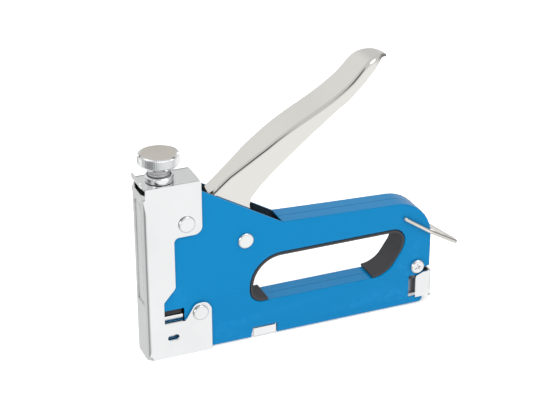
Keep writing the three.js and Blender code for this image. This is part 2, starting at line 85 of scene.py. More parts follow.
# Sizes in millimetres. X runs back from just behind the nose's face, Z up from the foot of the nose.
BODY_HALF = 7.6
BODY_SHEET = 0.9
BODY_FRONT = 1.6
SPLIT_GAP = 0.15
TRACK_HALF = 6.45
BODY_RIM = [
    (BODY_FRONT, 0.8), (52.8, 0.8), (53.8, 6), (66.8, 6), (66.8, 0.8), (149.4, 0.8, 2.4),
    (149.4, 20.8), (153, 21.4), (153, 59.6, 21), (70, 63), (28, 87.7), (BODY_FRONT, 87.7),
]
HAND_RIM = [(52.3, 20.4, 7), (52.3, 46.3, 17), (138, 46.3, 7), (138, 36, 11), (128, 20.4, 14)]
WINDOW = (6.5, 17.3, 18.6, 26.2)
NOSE_SLOT = [(7.9, 9.5, 1.6), (13.9, 9.5, 1.6), (13.9, 12.8, 1.6), (7.9, 12.8, 1.6)]
LATCH_SLOT = (140.8, 144.9, 5.0, 17.6)
SLOT_HOLE = [(7.6, 9.1, 1.6), (14.2, 9.1, 1.6), (14.2, 12.5, 1.6), (7.6, 12.5, 1.6)]
SLOT_REGION = (7.4, 14.4, 8.9, 12.7)
PRESSED_RIB = (33.5, 49.5, 26.9, 28.6)
LINER_SHEET = 1.4
LINER_GAP = (62, 120)
LINER_PLAY = 0.3

NOSE_HALF = 8.8
NOSE_SHEET = 0.9
NOSE_NOTCH = NOSE_FRONT + 1.6
NOSE_TOP = 93.9
NOSE_SIDE = [
    (NOSE_FRONT, 0), (31.1, 0, 0.5), (31.1, 24, 3), (28.6, 28, 3.6), (22.6, 27.6, 3.4), (17.4, 19.3, 0.6),
    (6.5, 19.3, 0.3), (6.5, 31.5, 2), (12.7, 38.5, 3), (12.7, 65.9, 2.6), (27.2, 65.9, 4.2),
    (27.2, 93.9, 0.7), (NOSE_NOTCH, 93.9, 0.3), (NOSE_NOTCH, 91, 0.3), (NOSE_FRONT, 91),
]
ARCH_HALF = 5.0
ARCH = [(-ARCH_HALF, 30, 0.8), (ARCH_HALF, 30, 0.8), (ARCH_HALF, 86.5, 4.9), (-ARCH_HALF, 86.5, 4.9)]
SCREW_X = 9.2
STEM_STEP = 95.0
KNOB_BASE = 102.0
LEVER_PIVOT = (50.0, 56.8)
LEVER_TILT = math.radians(42)
BAIL_PIVOT = (137.1, 52.1)
BAIL_DROOP = math.atan2(24.3, 35.4)


def at(x, y, z):
    """A point in the frame, from millimetres along, across and up."""
    return Vector((ZERO_X + x * MM, y * MM, z * MM))


def upright(y):
    """Places outline points (x, z) on the plane across the tool at y."""
    return lambda x, z: at(x, y, z)


def across_at(x):
    """Places outline points (y, z) on the plane square to the tool at x."""
    return lambda y, z: at(x, y, z)


class StaplerSizes(bpy.types.PropertyGroup):
    edge_round: bpy.props.FloatProperty(
        name="Body edge radius", description="Rounding of the pressed body's edges",
        default=1.7 * MM, min=0.0002, subtype="DISTANCE", unit="LENGTH")
    nose_round: bpy.props.FloatProperty(
        name="Nose bend radius", description="Outer radius of the nose cover's upright bends",
        default=2.8 * MM, min=0.0002, subtype="DISTANCE", unit="LENGTH")
    knurls: bpy.props.IntProperty(
        name="Knurls", description="Ridges round the tension knob", default=64, min=12, max=200)
    thread_pitch: bpy.props.FloatProperty(
        name="Thread pitch", description="Rise of the tension screw in one turn",
        default=1.25 * MM, min=0.0005, subtype="DISTANCE", unit="LENGTH")
    mainspring_turns: bpy.props.IntProperty(
        name="Mainspring turns", description="Coils of the spring that drives the hammer",
        default=7, min=3, max=20)
    pusher_turns: bpy.props.IntProperty(
        name="Pusher spring turns", description="Coils of the spring that feeds the staples",
        default=34, min=5, max=80)


class StaplerColours(bpy.types.PropertyGroup):
    paint: bpy.props.FloatVectorProperty(
        name="Enamel", description="Colour of the body's enamel",
        subtype="COLOR", size=3, min=0, max=1, default=(0.0, 0.16, 0.37))
    plate: bpy.props.FloatVectorProperty(
        name="Chrome", description="Tint of the bright plating",
        subtype="COLOR", size=3, min=0, max=1, default=(0.86, 0.87, 0.875))
    nickel: bpy.props.FloatVectorProperty(
        name="Satin nickel", description="Tint of the lever's satin plating",
        subtype="COLOR", size=3, min=0, max=1, default=(0.87, 0.865, 0.84))
    steel: bpy.props.FloatVectorProperty(
        name="Steel", description="Tint of the unplated steel pieces inside",
        subtype="COLOR", size=3, min=0, max=1, default=(0.42, 0.42, 0.43))
    plastic: bpy.props.FloatVectorProperty(
        name="Liner", description="Colour of the moulded lining of the hand opening",
        subtype="COLOR", size=3, min=0, max=1, default=(0.007, 0.007, 0.008))


# ---------------------------------------------------------------- materials

def new_group(name, inputs, outputs):
    """An empty shader node group with named float inputs and outputs, and its two end nodes."""
    group = bpy.data.node_groups.new(name, "ShaderNodeTree")
    for label, default in inputs:
        socket = group.interface.new_socket(name=label, in_out="INPUT", socket_type="NodeSocketFloat")
        socket.default_value = default
    for label in outputs:
        group.interface.new_socket(name=label, in_out="OUTPUT", socket_type="NodeSocketFloat")
    return group, group.nodes.new("NodeGroupInput"), group.nodes.new("NodeGroupOutput")


def noise(tree, scale, detail=4.0, roughness=0.55, stretch=None):
    """A noise texture on Object coordinates; stretch squeezes it along an axis."""
    place = tree.nodes.new("ShaderNodeTexCoord")
    mapping = tree.nodes.new("ShaderNodeMapping")
    mapping.inputs["Scale"].default_value = stretch or (1, 1, 1)
    texture = tree.nodes.new("ShaderNodeTexNoise")
    texture.inputs["Scale"].default_value = scale
    texture.inputs["Detail"].default_value = detail
    texture.inputs["Roughness"].default_value = roughness
    tree.links.new(place.outputs["Object"], mapping.inputs["Vector"])
    tree.links.new(mapping.outputs["Vector"], texture.inputs["Vector"])
    return texture


def ramp(tree, source, low, high, start=0.0, end=1.0):
    """Maps source from low..high to start..end, clamped."""
    node = tree.nodes.new("ShaderNodeMapRange")
    node.inputs["From Min"].default_value = low
    node.inputs["From Max"].default_value = high
    node.inputs["To Min"].default_value = start
    node.inputs["To Max"].default_value = end
    tree.links.new(source, node.inputs["Value"])
    return node.outputs["Result"]


def multiply_add(tree, value, factor, base):
    node = tree.nodes.new("ShaderNodeMath")
    node.operation = "MULTIPLY_ADD"
    for socket, source in zip(node.inputs, (value, factor, base)):
        if isinstance(source, (int, float)):
            socket.default_value = source
        else:
            tree.links.new(source, socket)
    return node.outputs[0]


def handled_group():
    """Faint smudges and hair scratches of a handled metal or painted surface."""
    group, start, end = new_group(
        "handled_surface", [("Roughness", 0.2), ("Smudge", 0.08), ("Scratch", 0.3)],
        ["Roughness", "Height", "Smudge mask"])
    cloud = ramp(group, noise(group, 38, 3).outputs["Fac"], 0.42, 0.7)
    hair = ramp(group, noise(group, 900, 2, 0.7, (1, 1, 0.04)).outputs["Fac"], 0.63, 0.76)
    cross = ramp(group, noise(group, 700, 2, 0.7, (0.05, 1, 1)).outputs["Fac"], 0.66, 0.8)
    both = multiply_add(group, hair, 1.0, cross)
    rough = multiply_add(group, cloud, start.outputs["Smudge"], start.outputs["Roughness"])
    rough = multiply_add(group, both, 0.03, rough)
    group.links.new(rough, end.inputs["Roughness"])
    group.links.new(multiply_add(group, both, start.outputs["Scratch"], 0.0), end.inputs["Height"])
    group.links.new(cloud, end.inputs["Smudge mask"])
    return group


def grain_group():
    """Fine grain: orange peel in paint, brushing in satin plate, pebble in moulded plastic."""
    group, start, end = new_group(
        "surface_grain", [("Scale", 300.0), ("Stretch", 1.0)], ["Height", "Mask"])
    place = group.nodes.new("ShaderNodeTexCoord")
    squeeze = group.nodes.new("ShaderNodeCombineXYZ")
    squeeze.inputs["Y"].default_value = 1.0
    group.links.new(start.outputs["Stretch"], squeeze.inputs["X"])
    group.links.new(start.outputs["Stretch"], squeeze.inputs["Z"])
    scaled = group.nodes.new("ShaderNodeVectorMath")
    scaled.operation = "MULTIPLY"
    group.links.new(place.outputs["Object"], scaled.inputs[0])
    group.links.new(squeeze.outputs["Vector"], scaled.inputs[1])
    texture = group.nodes.new("ShaderNodeTexNoise")
    texture.inputs["Detail"].default_value = 3
    group.links.new(scaled.outputs["Vector"], texture.inputs["Vector"])
    group.links.new(start.outputs["Scale"], texture.inputs["Scale"])
    group.links.new(texture.outputs["Fac"], end.inputs["Height"])
    group.links.new(ramp(group, texture.outputs["Fac"], 0.35, 0.65), end.inputs["Mask"])
    return group


def worn_edge_group():
    """Where a surface turns sharply outward, its finish is rubbed thinner and brighter."""
    group, start, end = new_group("rubbed_edges", [("Amount", 1.0)], ["Mask"])
    shape = group.nodes.new("ShaderNodeNewGeometry")
    edge = ramp(group, shape.outputs["Pointiness"], 0.56, 0.68)
    broken = ramp(group, noise(group, 260, 4, 0.65).outputs["Fac"], 0.4, 0.62)
    mask = multiply_add(group, edge, broken, 0.0)
    group.links.new(multiply_add(group, mask, start.outputs["Amount"], 0.0), end.inputs["Mask"])
    return group


def place_group(tree, name, **values):
    node = tree.nodes.new("ShaderNodeGroup")
    node.node_tree = bpy.data.node_groups[name]
    for label, value in values.items():
        node.inputs[label.replace("_", " ").capitalize()].default_value = value
    return node


def tinted(tree, mask, plain, changed):
    """Colour that goes from plain to changed where the mask says."""
    mix = tree.nodes.new("ShaderNodeMix")
    mix.data_type = "RGBA"
    mix.inputs[6].default_value = (*plain, 1)
    mix.inputs[7].default_value = (*changed, 1)
    tree.links.new(mask, mix.inputs[0])
    return mix.outputs[2]


def bump(tree, height, strength, distance, under=None):
    node = tree.nodes.new("ShaderNodeBump")
    node.inputs["Strength"].default_value = strength
    node.inputs["Distance"].default_value = distance
    tree.links.new(height, node.inputs["Height"])
    if under is not None:
        tree.links.new(under, node.inputs["Normal"])
    return node.outputs["Normal"]


def new_material(name, **values):
    """A material with one Principled BSDF; values set that shader's own sockets."""
    made = bpy.data.materials.new(name)
    made.use_nodes = True
    shader = made.node_tree.nodes["Principled BSDF"]
    for label, value in values.items():
        shader.inputs[label.replace("_", " ").title().replace("Ior", "IOR")].default_value = value
    return made, made.node_tree, shader


def enamel(colours):
    """Glossy stove enamel with a little orange peel."""
    base = tuple(colours.paint)
    made, tree, shader = new_material("blue_enamel", Metallic=0.0, Specular_IOR_Level=0.5)
    shader.inputs["Specular Tint"].default_value = (0.12, 0.55, 1.0, 1)
    shader.inputs["Coat Weight"].default_value = 0.06
    shader.inputs["Coat Roughness"].default_value = 0.06
    handled = place_group(tree, "handled_surface", roughness=0.24, smudge=0.02, scratch=0.12)
    peel = place_group(tree, "surface_grain", scale=1300, stretch=1)
    worn = place_group(tree, "rubbed_edges", amount=0.35)
    lighter = tuple(min(1, c * 1.25 + 0.012) for c in base)
    mixed = tinted(tree, worn.outputs["Mask"], base, lighter)
    tree.links.new(mixed, shader.inputs["Base Color"])
    tree.links.new(handled.outputs["Roughness"], shader.inputs["Roughness"])
    fine = bump(tree, peel.outputs["Height"], 0.1, 0.00002)
    tree.links.new(bump(tree, handled.outputs["Height"], 0.1, 0.00002, fine), shader.inputs["Normal"])
    return made


def metal(name, tint, roughness, grain_scale, grain_stretch, grain_strength, smudge=0.05, dark=0.82):
    """Plated or bare metal: handled surface and directional grain."""
    made, tree, shader = new_material(name, Metallic=1.0)
    handled = place_group(tree, "handled_surface", roughness=roughness, smudge=smudge, scratch=0.35)
    grain = place_group(tree, "surface_grain", scale=grain_scale, stretch=grain_stretch)
    dull = tuple(c * dark for c in tint)
    tree.links.new(tinted(tree, handled.outputs["Smudge mask"], tint, dull), shader.inputs["Base Color"])
    tree.links.new(handled.outputs["Roughness"], shader.inputs["Roughness"])
    fine = bump(tree, grain.outputs["Height"], grain_strength, 0.00004)
    tree.links.new(bump(tree, handled.outputs["Height"], 0.15, 0.00002, fine), shader.inputs["Normal"])
    return made


def moulded(name, tint, roughness, grain_scale, grain_strength):
    """Pebbled plastic or rubber."""
    made, tree, shader = new_material(name, Metallic=0.0, Specular_IOR_Level=0.12)
    grain = place_group(tree, "surface_grain", scale=grain_scale, stretch=1)
    handled = place_group(tree, "handled_surface", roughness=roughness, smudge=0.1, scratch=0.1)
    lighter = tuple(c * 1.6 + 0.004 for c in tint)
    tree.links.new(tinted(tree, grain.outputs["Mask"], tint, lighter), shader.inputs["Base Color"])
    tree.links.new(handled.outputs["Roughness"], shader.inputs["Roughness"])
    tree.links.new(bump(tree, grain.outputs["Height"], grain_strength, 0.0001), shader.inputs["Normal"])
    return made


def make_materials(colours):
    handled_group()
    grain_group()
    worn_edge_group()
    plate, nickel, steel = tuple(colours.plate), tuple(colours.nickel), tuple(colours.steel)
    enamel(colours)
    metal("bright_chrome", plate, 0.10, 500, 1, 0.03, 0.05, 0.96)
    metal("satin_nickel", nickel, 0.26, 900, 0.25, 0.10, 0.05, 0.95)
    metal("turned_steel", (0.74, 0.70, 0.64), 0.30, 1200, 0.3, 0.25, 0.06, 0.9)
    metal("plain_steel", steel, 0.36, 700, 0.3, 0.2, 0.1, 0.75)
    metal("spring_steel", (0.30, 0.30, 0.31), 0.28, 900, 0.5, 0.1, 0.08, 0.7)
    metal("bail_wire", (0.80, 0.78, 0.74), 0.18, 900, 0.4, 0.08, 0.06, 0.8)
    moulded("liner_plastic", tuple(colours.plastic), 0.4, 1500, 0.12)
    # Near-black material for the inside faces of the body shells: painted shade for the shadowed inside of
    # the body.
    moulded("inner_primer", (0.012, 0.02, 0.03), 0.5, 600, 0.1)
    moulded("stop_rubber", (0.012, 0.012, 0.012), 0.7, 900, 0.3)


# ---------------------------------------------------------------- modelling tools

def append(bm, other):
    """Copies another bmesh into bm and frees it."""
    mesh = bpy.data.meshes.new("part")
    other.to_mesh(mesh)
    other.free()
    bm.from_mesh(mesh)
    bpy.data.meshes.remove(mesh)


def add_outline(bm, corners, place, segments=6, keep_face=False):
    """Adds a closed outline with rounded corners (a, b, radius); its face stays only if asked."""
    part = bmesh.new()
    spots = [place(corner[0], corner[1]) for corner in corners]
    part.faces.new([part.verts.new(spot) for spot in spots])
    for i, corner in enumerate(corners):
        if len(corner) < 3:
            continue
        before, after = spots[i - 1] - spots[i], spots[(i + 1) % len(spots)] - spots[i]
        reach = corner[2] * MM / math.tan(before.angle(after) / 2)
        nearest = min(part.verts, key=lambda v: (v.co - spots[i]).length)
        bmesh.ops.bevel(
            part, geom=[nearest], offset=reach, offset_type="OFFSET", segments=segments,
            profile=0.5, affect="VERTICES", clamp_overlap=False, material=-1)
    if not keep_face:
        bmesh.ops.delete(part, geom=part.faces[:], context="FACES_ONLY")
    append(bm, part)


def fill(bm, normal):
    """Fills the flat region between the loose outlines."""
    edges = [e for e in bm.edges if len(e.link_faces) < 2]
    bmesh.ops.triangle_fill(bm, use_beauty=True, use_dissolve=False, edges=edges, normal=normal)
    point_faces(bm.faces, normal)


def point_faces(faces, normal):
    for face in faces:
        face.normal_update()
        if face.normal.dot(normal) < 0:
            face.normal_flip()


def box_corners(x0, x1, z0, z1, radius=0.4):
    return [(x0, z0, radius), (x1, z0, radius), (x1, z1, radius), (x0, z1, radius)]


def raise_faces(bm, faces, offset):
    """Extrudes a flat region; returns the moved faces and the new side walls."""
    before = set(bm.faces)
    made = bmesh.ops.extrude_face_region(bm, geom=list(faces))["geom"]
    moved = [g for g in made if isinstance(g, bmesh.types.BMFace)]
    bmesh.ops.translate(bm, verts=[g for g in made if isinstance(g, bmesh.types.BMVert)], vec=offset)
    walls = [f for f in bm.faces if f not in before and f not in moved]
    return moved, walls


def draw_out(bm, edges):
    """Extrudes a run of edges; returns the new vertices and the new far edges."""
    made = bmesh.ops.extrude_edge_only(bm, edges=edges)["geom"]
    verts = [g for g in made if isinstance(g, bmesh.types.BMVert)]
    return verts, [g for g in made if isinstance(g, bmesh.types.BMEdge)]


def agree_normals(bm):
    """Turns neighbouring faces to the same side of the surface."""
    bmesh.ops.recalc_face_normals(bm, faces=bm.faces[:])


def drop_faces(bm, faces):
    """Deletes faces, with the edges and vertices only they used."""
    bmesh.ops.delete(bm, geom=list(faces), context="FACES")


def split_at(bm, faces, point, normal):
    """Cuts the given faces along a plane."""
    faces = list(faces)
    geometry = faces + list({e for f in faces for e in f.edges}) + list({v for f in faces for v in f.verts})
    bmesh.ops.bisect_plane(bm, geom=geometry, dist=1e-7, plane_co=point, plane_no=normal)


def bevel_edges(bm, edges, width, segments):
    bmesh.ops.bevel(
        bm, geom=list(edges), offset=width, offset_type="OFFSET", segments=segments,
        profile=0.5, affect="EDGES", clamp_overlap=True, material=-1)


def turned(profile, place, steps=48):
    """A turned solid: profile is (radius, height) pairs from axis to axis; place is its matrix."""
    bm = bmesh.new()
    verts = [bm.verts.new((radius * MM, 0, height * MM)) for radius, height in profile]
    edges = [bm.edges.new(pair) for pair in zip(verts, verts[1:])]
    bmesh.ops.spin(
        bm, geom=verts + edges, cent=(0, 0, 0), axis=(0, 0, 1), angle=math.tau,
        steps=steps, use_merge=True)
    bmesh.ops.remove_doubles(bm, verts=bm.verts[:], dist=1e-6)
    agree_normals(bm)
    bm.transform(place)
    return bm


def coil(radius, wire, turns, length, place, steps_per_turn=28, sides=10):
    """Round wire wound along local Z, its ends closed."""
    bm = bmesh.new()
    turn = Matrix.Translation((radius * MM, 0, 0)) @ Matrix.Rotation(math.pi / 2, 4, "X")
    ring = bmesh.ops.create_circle(bm, segments=sides, radius=wire * MM, cap_ends=True, matrix=turn)
    steps = turns * steps_per_turn
    bmesh.ops.spin(
        bm, geom=ring["verts"] + bm.edges[:], cent=(0, 0, 0), axis=(0, 0, 1),
        dvec=(0, 0, length * MM / steps), angle=math.tau * turns, steps=steps)
    bmesh.ops.holes_fill(bm, edges=[e for e in bm.edges if e.is_boundary], sides=sides)
    agree_normals(bm)
    bm.transform(place)
    return bm


def sweep(stations, sides):
    """A round bar through (point, direction, radius) stations, by extruding and turning one ring."""
    bm = bmesh.new()
    spot, heading, radius = stations[0]
    turn = Matrix.Translation(spot) @ heading.to_track_quat("Z", "Y").to_matrix().to_4x4()
    ring = bmesh.ops.create_circle(bm, segments=sides, radius=radius, matrix=turn)["verts"]
    edges = list({e for v in ring for e in v.link_edges})
    for here, way, size in stations[1:]:
        ring, edges = draw_out(bm, edges)
        bmesh.ops.scale(bm, vec=(size / radius,) * 3, space=Matrix.Translation(-spot), verts=ring)
        bmesh.ops.rotate(bm, cent=spot, matrix=heading.rotation_difference(way).to_matrix(), verts=ring)
        bmesh.ops.translate(bm, vec=here - spot, verts=ring)
        spot, heading, radius = here, way, size
    bmesh.ops.holes_fill(bm, edges=[e for e in bm.edges if e.is_boundary], sides=sides)
    agree_normals(bm)
    return bm


def add_modifier(piece, kind, name, **values):
    modifier = piece.modifiers.new(name, kind)
    for label, value in values.items():
        setattr(modifier, label, value)


def soften(piece, width, segments=2, angle=32):
    """Rounds a piece's sharp edges a little, and keeps its flats flat in the light."""
    if width:
        add_modifier(
            piece, "BEVEL", "softened edges", width=width * MM, segments=segments,
            limit_method="ANGLE", angle_limit=math.radians(angle), harden_normals=False)
    add_modifier(piece, "WEIGHTED_NORMAL", "flat flats", weight=80, keep_sharp=True)


def piece_from(bm, name, material, nodes, sheet=0.0, even=True, soft=0.1, segments=2, angle=32):
    """Makes the object, gives it its finish, and lets it stand for its CAD nodes on their body."""
    mesh = bpy.data.meshes.new(name)
    bm.to_mesh(mesh)
    bm.free()
    for polygon in mesh.polygons:
        polygon.use_smooth = True
    piece = bpy.data.objects.new(name, mesh)
    bpy.context.scene.collection.objects.link(piece)
    mesh.materials.append(bpy.data.materials[material])
    if sheet:
        add_modifier(
            piece, "SOLIDIFY", "sheet", thickness=sheet * MM, offset=-1, use_even_offset=even,
            use_quality_normals=True)
    soften(piece, soft, segments, angle)
    body = frame["nodes"][nodes[0]]["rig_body"]
    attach(piece, body)
    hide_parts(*nodes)
    return piece


# ---------------------------------------------------------------- pressed body

def within(face, x0, x1, z0, z1, margin=0.2):
    centre = face.calc_center_median()
    low, high = at(x0 - margin, 0, z0 - margin), at(x1 + margin, 0, z1 + margin)
    return low.x < centre.x < high.x and low.z < centre.z < high.z


def by_the_track(face):
    """True for the faces where the staple rail and its latch pass."""
    return face.calc_center_median().z < at(0, 0, 6.5).z or within(face, 149.3, 149.5, 0, 20.8, 0.3)


def shell_mesh(edge_round):
    """One pressed half, on the -Y side: a flat flank with a rolled rim, open along the lever slot."""
    bm = bmesh.new()
    place = upright(-SPLIT_GAP)
    add_outline(bm, BODY_RIM, place, 10)
    add_outline(bm, HAND_RIM, place, 8)
    add_outline(bm, box_corners(*WINDOW, 0.3), place, 3)
    add_outline(bm, box_corners(*LATCH_SLOT, 0.5), place, 3)
    add_outline(bm, box_corners(*PRESSED_RIB, 0.6), place, 4, True)
    add_outline(bm, SLOT_HOLE, place, 5)
    fill(bm, ACROSS)
    inner = bm.faces[:]
    flank, walls = raise_faces(bm, inner, -ACROSS * (BODY_HALF - SPLIT_GAP) * MM)
    drop_faces(bm, [f for f in bm.faces if f not in set(flank) | set(walls)])
    slot_way = (at(70, 0, 63) - at(28, 0, 87.7)).normalized()

    def is_open(face):
        centre = face.calc_center_median()
        along = abs(face.normal.dot(slot_way)) < 0.02 and centre.z > at(0, 0, 62.9).z
        ends = centre.x < at(BODY_FRONT + 0.2, 0, 0).x or centre.z > at(0, 0, 87.5).z
        return along or ends or any(within(face, *cut) for cut in (WINDOW, LATCH_SLOT, SLOT_REGION))

    for face in walls:
        face.normal_update()
    drop_faces(bm, [f for f in walls if is_open(f)])
    rib = next(f for f in bm.faces if len(f.verts) > 12 and within(f, *PRESSED_RIB))
    bmesh.ops.inset_region(bm, faces=[rib], thickness=0.5 * MM)
    bmesh.ops.translate(bm, verts=rib.verts[:], vec=-ACROSS * 0.25 * MM)
    flat = [e for e in bm.edges if len(e.link_faces) == 2 and e.calc_face_angle(0) < 0.01]
    bmesh.ops.dissolve_edges(bm, edges=flat, use_verts=False)
    rolled = [
        e for e in bm.edges if len(e.link_faces) == 2
        and sorted(round(abs(f.normal.y)) for f in e.link_faces) == [0, 1]]
    bevel_edges(bm, rolled, edge_round, 5)
    split_at(bm, [f for f in bm.faces if by_the_track(f)], at(0, -TRACK_HALF, 0), ACROSS)
    drop_faces(bm, [
        f for f in bm.faces if by_the_track(f) and f.calc_center_median().y > -TRACK_HALF * MM])
    bmesh.ops.remove_doubles(bm, verts=bm.verts[:], dist=1e-6)
    return bm


def point_outward(bm, side):
    """Turns every face so that the flank faces away from the centre plane."""
    agree_normals(bm)
    flank = max(bm.faces, key=lambda f: f.calc_area())
    if flank.normal.y * side < 0:
        bmesh.ops.reverse_faces(bm, faces=bm.faces[:])


class StaplerBody(bpy.types.Operator):
    """Builds the two pressed halves of the body"""
    bl_idname = "stapler.body_shells"
    bl_label = "Body shells"

    def execute(self, context):
        sizes = context.scene.stapler_sizes
        for side, name in ((-1, "body_shell_left"), (1, "body_shell_right")):
            bm = shell_mesh(sizes.edge_round)
            if side > 0:
                bmesh.ops.scale(bm, vec=(1, -1, 1), verts=bm.verts[:])
            point_outward(bm, side)
            shell = piece_from(
                bm, f"{name}_skin", "blue_enamel", [name], sheet=BODY_SHEET, soft=0.12, angle=50)
            # The inner faces of each shell take the near-black material: painted shade, so the inside seen
            # through the lever slot looks dark.
            shell.data.materials.append(bpy.data.materials["inner_primer"])
            shell.modifiers["sheet"].material_offset = 1
        return {"FINISHED"}


class StaplerLiner(bpy.types.Operator):
    """Builds the moulded lining of the hand opening"""
    bl_idname = "stapler.grip_liner"
    bl_label = "Grip liner"

    def execute(self, context):
        low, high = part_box("grip_liner")
        middle_x = sum(corner[0] for corner in HAND_RIM) / len(HAND_RIM)
        middle_z = sum(corner[1] for corner in HAND_RIM) / len(HAND_RIM)
        rim = [
            (x + math.copysign(LINER_PLAY, middle_x - x), z + math.copysign(LINER_PLAY, middle_z - z),
             radius - LINER_PLAY)
            for x, z, radius in HAND_RIM]
        bm = bmesh.new()
        add_outline(bm, rim, upright(low.y / MM), 12)
        verts, _ = draw_out(bm, bm.edges[:])
        bmesh.ops.translate(bm, verts=verts, vec=ACROSS * (high.y - low.y))
        for x in LINER_GAP:
            floor = [f for f in bm.faces if f.calc_center_median().z < at(0, 0, 21).z]
            split_at(bm, floor, at(x, 0, 0), (1, 0, 0))
        drop_faces(bm, [f for f in bm.faces if within(f, *LINER_GAP, 20, 21, 0)])
        agree_normals(bm)
        top = max(bm.faces, key=lambda f: f.calc_center_median().z)
        if top.normal.z < 0:
            bmesh.ops.reverse_faces(bm, faces=bm.faces[:])
        piece_from(bm, "grip_liner_skin", "liner_plastic", ["grip_liner"], sheet=LINER_SHEET, soft=0.45,
                   segments=3, angle=50)
        return {"FINISHED"}


# ---------------------------------------------------------------- nose

def nose_mesh(bend):
    """Plated channel: two flanks with an oblong slot, and a front wall with a pressed arch."""
    bm = bmesh.new()
    place = upright(-NOSE_HALF)
    add_outline(bm, NOSE_SIDE, place, 6)
    add_outline(bm, NOSE_SLOT, place, 5)
    fill(bm, -ACROSS)
    _, walls = raise_faces(bm, bm.faces[:], ACROSS * 2 * NOSE_HALF * MM)
    drop_faces(bm, walls)
    front_x = at(NOSE_FRONT, 0, 0).x
    corners = sorted((v for v in bm.verts if v.co.x < front_x + 1e-5), key=lambda v: (v.co.y, v.co.z))
    front = bm.faces.new([corners[i] for i in (0, 1, 3, 2)])
    agree_normals(bm)
    bends = [e for e in front.edges if len(e.link_faces) == 2]
    bevel_edges(bm, bends, bend, 6)
    front = min(bm.faces, key=lambda f: f.calc_center_median().x)
    bmesh.ops.delete(bm, geom=[front], context="FACES_ONLY")
    add_outline(bm, ARCH, across_at(NOSE_FRONT), 8, True)
    panel = min(bm.faces, key=lambda f: f.calc_center_median().x)
    loops = [e for e in bm.edges if len(e.link_faces) < 2
             and all(abs(v.co.x - front_x) < 1e-6 for v in e.verts)]
    bmesh.ops.triangle_fill(bm, use_beauty=True, use_dissolve=False, edges=loops, normal=(-1, 0, 0))
    agree_normals(bm)
    bmesh.ops.inset_region(bm, faces=[panel], thickness=0.7 * MM, depth=0.0)
    bmesh.ops.translate(bm, verts=panel.verts[:], vec=(0.6 * MM, 0, 0))
    return bm


class StaplerNose(bpy.types.Operator):
    """Builds the plated nose cover and the cap on top of it"""
    bl_idname = "stapler.nose"
    bl_label = "Nose"

    def execute(self, context):
        bm = nose_mesh(context.scene.stapler_sizes.nose_round)
        agree_normals(bm)
        front = min(bm.faces, key=lambda f: f.calc_center_median().x)
        if front.normal.x > 0:
            bmesh.ops.reverse_faces(bm, faces=bm.faces[:])
        piece_from(
            bm, "nose_cover_skin", "bright_chrome", ["nose_cover"], sheet=NOSE_SHEET, soft=0.14, angle=50)
        self.cap()
        return {"FINISHED"}

    def cap(self):
        """Flat cap with a hole for the screw and a lip turned up at its front edge."""
        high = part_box("top_cap")[1]
        half = high.y / MM
        fold, rear, rise, near_end = NOSE_FRONT + 1.5, 27.1, 0.6, -4.9
        bm = bmesh.new()
        plan = [(fold, -half), (rear, -half, 0.8), (rear, half, 0.8), (fold, half)]
        add_outline(bm, plan, lambda x, y: at(x, y, NOSE_TOP), 4)
        hole = Matrix.Translation(at(SCREW_X, 0, NOSE_TOP))
        bmesh.ops.create_circle(bm, segments=40, radius=5.9 * MM, matrix=hole)
        fill(bm, UP)
        edges = [e for e in bm.edges if all(v.co.x < at(fold + 0.05, 0, 0).x for v in e.verts)]
        lip_height = high.z - at(0, 0, NOSE_TOP + rise).z
        for step in ((-rise * MM, 0, rise * MM), (0, 0, lip_height)):
            verts, edges = draw_out(bm, edges)
            bmesh.ops.translate(bm, verts=verts, vec=step)
        lip_x = at(fold - 0.1, 0, 0).x
        split_at(bm, [f for f in bm.faces if f.calc_center_median().x < lip_x], at(0, near_end, 0), ACROSS)
        drop_faces(bm, [f for f in bm.faces if f.calc_center_median().x < lip_x
                        and f.calc_center_median().y < near_end * MM])
        agree_normals(bm)
        roof = max(bm.faces, key=lambda f: f.calc_area())
        if roof.normal.z < 0:
            bmesh.ops.reverse_faces(bm, faces=bm.faces[:])
        piece_from(bm, "top_cap_skin", "bright_chrome", ["top_cap"], sheet=0.9, soft=0.2, segments=3)


# ---------------------------------------------------------------- tension screw

def thread_mesh(radius, pitch, z0, z1):
    """An open helical thread about Z, one ridge to a turn."""
    bm = bmesh.new()
    depth = 0.62 * pitch
    rows = [(radius - depth, 0), (radius, 0.42 * pitch), (radius, 0.58 * pitch), (radius - depth, pitch)]
    verts = [bm.verts.new((r, 0, z)) for r, z in rows]
    edges = [bm.edges.new(pair) for pair in zip(verts, verts[1:])]
    turns = int((z1 - z0) / pitch)
    steps = 32
    bmesh.ops.spin(
        bm, geom=verts + edges, cent=(0, 0, 0), axis=(0, 0, 1), dvec=(0, 0, pitch / steps),
        angle=math.tau * turns, steps=steps * turns)
    bmesh.ops.remove_doubles(bm, verts=bm.verts[:], dist=1e-6)
    agree_normals(bm)
    bmesh.ops.translate(bm, verts=bm.verts[:], vec=(0, 0, z0))
    return bm


